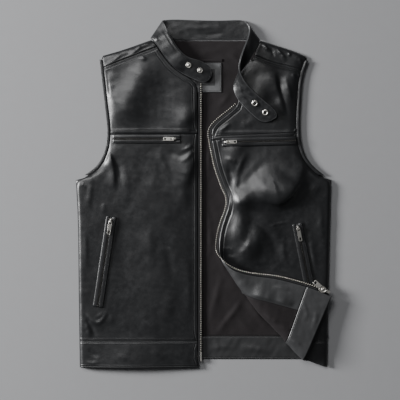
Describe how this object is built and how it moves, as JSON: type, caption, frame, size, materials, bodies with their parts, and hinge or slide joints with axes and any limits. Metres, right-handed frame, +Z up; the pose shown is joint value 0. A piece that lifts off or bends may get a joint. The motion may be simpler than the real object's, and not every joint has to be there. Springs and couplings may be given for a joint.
{
  "type": "leather vest",
  "caption": "Leather vest with a stand collar, a front zip and zipped pockets, laid flat and open with one front corner turned back.",
  "frame": {"origin": "on the surface that the vest lies on, under the middle of its box", "axes": "+X to the wearer's left, +Y up the body to the collar, +Z up from the surface"},
  "size_m": [0.512, 0.697, 0.04],
  "materials": {
    "leather": "soft sheen, fine grain",
    "inner_leather": "smooth, a little lighter than the outside",
    "lining": "dark twill",
    "zip_tape": "woven, matt",
    "metal": "nickel plate, worn"
  },
  "bodies": {
    "vest": {"back_panel": "leather", "collar": "leather", "right_front_hem_band": "leather", "right_front_lower": "leather", "right_front_upper": "leather", "shoulder_yoke_right": "leather", "left_front_hem_band": "leather", "left_front_lower": "leather", "left_front_upper": "leather", "shoulder_yoke_left": "leather", "armhole_binding_right": "leather", "armhole_binding_left": "leather", "right_chest_pocket_welt_upper": "leather", "right_chest_pocket_welt_lower": "leather", "left_chest_pocket_welt_upper": "leather", "left_chest_pocket_welt_lower": "leather", "right_hand_pocket_welt_upper": "leather", "right_hand_pocket_welt_lower": "leather", "left_hand_pocket_welt_upper": "leather", "left_hand_pocket_welt_lower": "leather", "back_hem_facing": "inner_leather", "left_front_hem_facing": "inner_leather", "left_front_facing": "inner_leather", "neck_label": "inner_leather", "back_lining": "lining", "left_front_lining": "lining", "hanger_loop": "lining", "main_zip_right_tape": "zip_tape", "main_zip_left_tape": "zip_tape", "right_chest_pocket_tape": "zip_tape", "left_chest_pocket_tape": "zip_tape", "right_hand_pocket_tape": "zip_tape", "left_hand_pocket_tape": "zip_tape", "main_zip_right_chain": "metal", "main_zip_pin": "metal", "main_zip_left_chain": "metal", "main_zip_slider": "metal", "main_zip_box": "metal", "snap_stud_1": "metal", "snap_stud_2": "metal", "snap_socket_1": "metal", "snap_socket_2": "metal", "right_chest_pocket_chain": "metal", "right_chest_pocket_slider": "metal", "left_chest_pocket_chain": "metal", "left_chest_pocket_slider": "metal", "right_hand_pocket_chain": "metal", "right_hand_pocket_slider": "metal", "left_hand_pocket_chain": "metal", "left_hand_pocket_slider": "metal"},
    "main_zip_pull": {"main_zip_pull": "metal"},
    "right_chest_pocket_pull": {"right_chest_pocket_pull": "metal"},
    "left_chest_pocket_pull": {"left_chest_pocket_pull": "metal"},
    "right_hand_pocket_pull": {"right_hand_pocket_pull": "metal"},
    "left_hand_pocket_pull": {"left_hand_pocket_pull": "metal"}
  },
  "joints": [
    {"name": "main_zip_pull_hinge", "type": "hinge", "parent": "vest", "child": "main_zip_pull", "pos_m": [0.23716, -0.19121, 0.02109], "axis": [0.6809, 0.7301, -0.058], "range_deg": [0, 150]},
    {"name": "right_chest_pocket_pull_hinge", "type": "hinge", "parent": "vest", "child": "right_chest_pocket_pull", "pos_m": [-0.05944, 0.10824, 0.01786], "axis": [-0.0018, 0.9995, 0.0322], "range_deg": [0, 150]},
    {"name": "left_chest_pocket_pull_hinge", "type": "hinge", "parent": "vest", "child": "left_chest_pocket_pull", "pos_m": [0.04549, 0.10215, 0.01718], "axis": [0.024, -0.9985, 0.0495], "range_deg": [0, 150]},
    {"name": "right_hand_pocket_pull_hinge", "type": "hinge", "parent": "vest", "child": "right_hand_pocket_pull", "pos_m": [-0.18532, -0.0554, 0.0166], "axis": [-0.9891, 0.1475, -0.0002], "range_deg": [0, 150]},
    {"name": "left_hand_pocket_pull_hinge", "type": "hinge", "parent": "vest", "child": "left_hand_pocket_pull", "pos_m": [0.18876, -0.06933, 0.0166], "axis": [-0.981, -0.1938, 0.0003], "range_deg": [0, 150]}
  ]
}
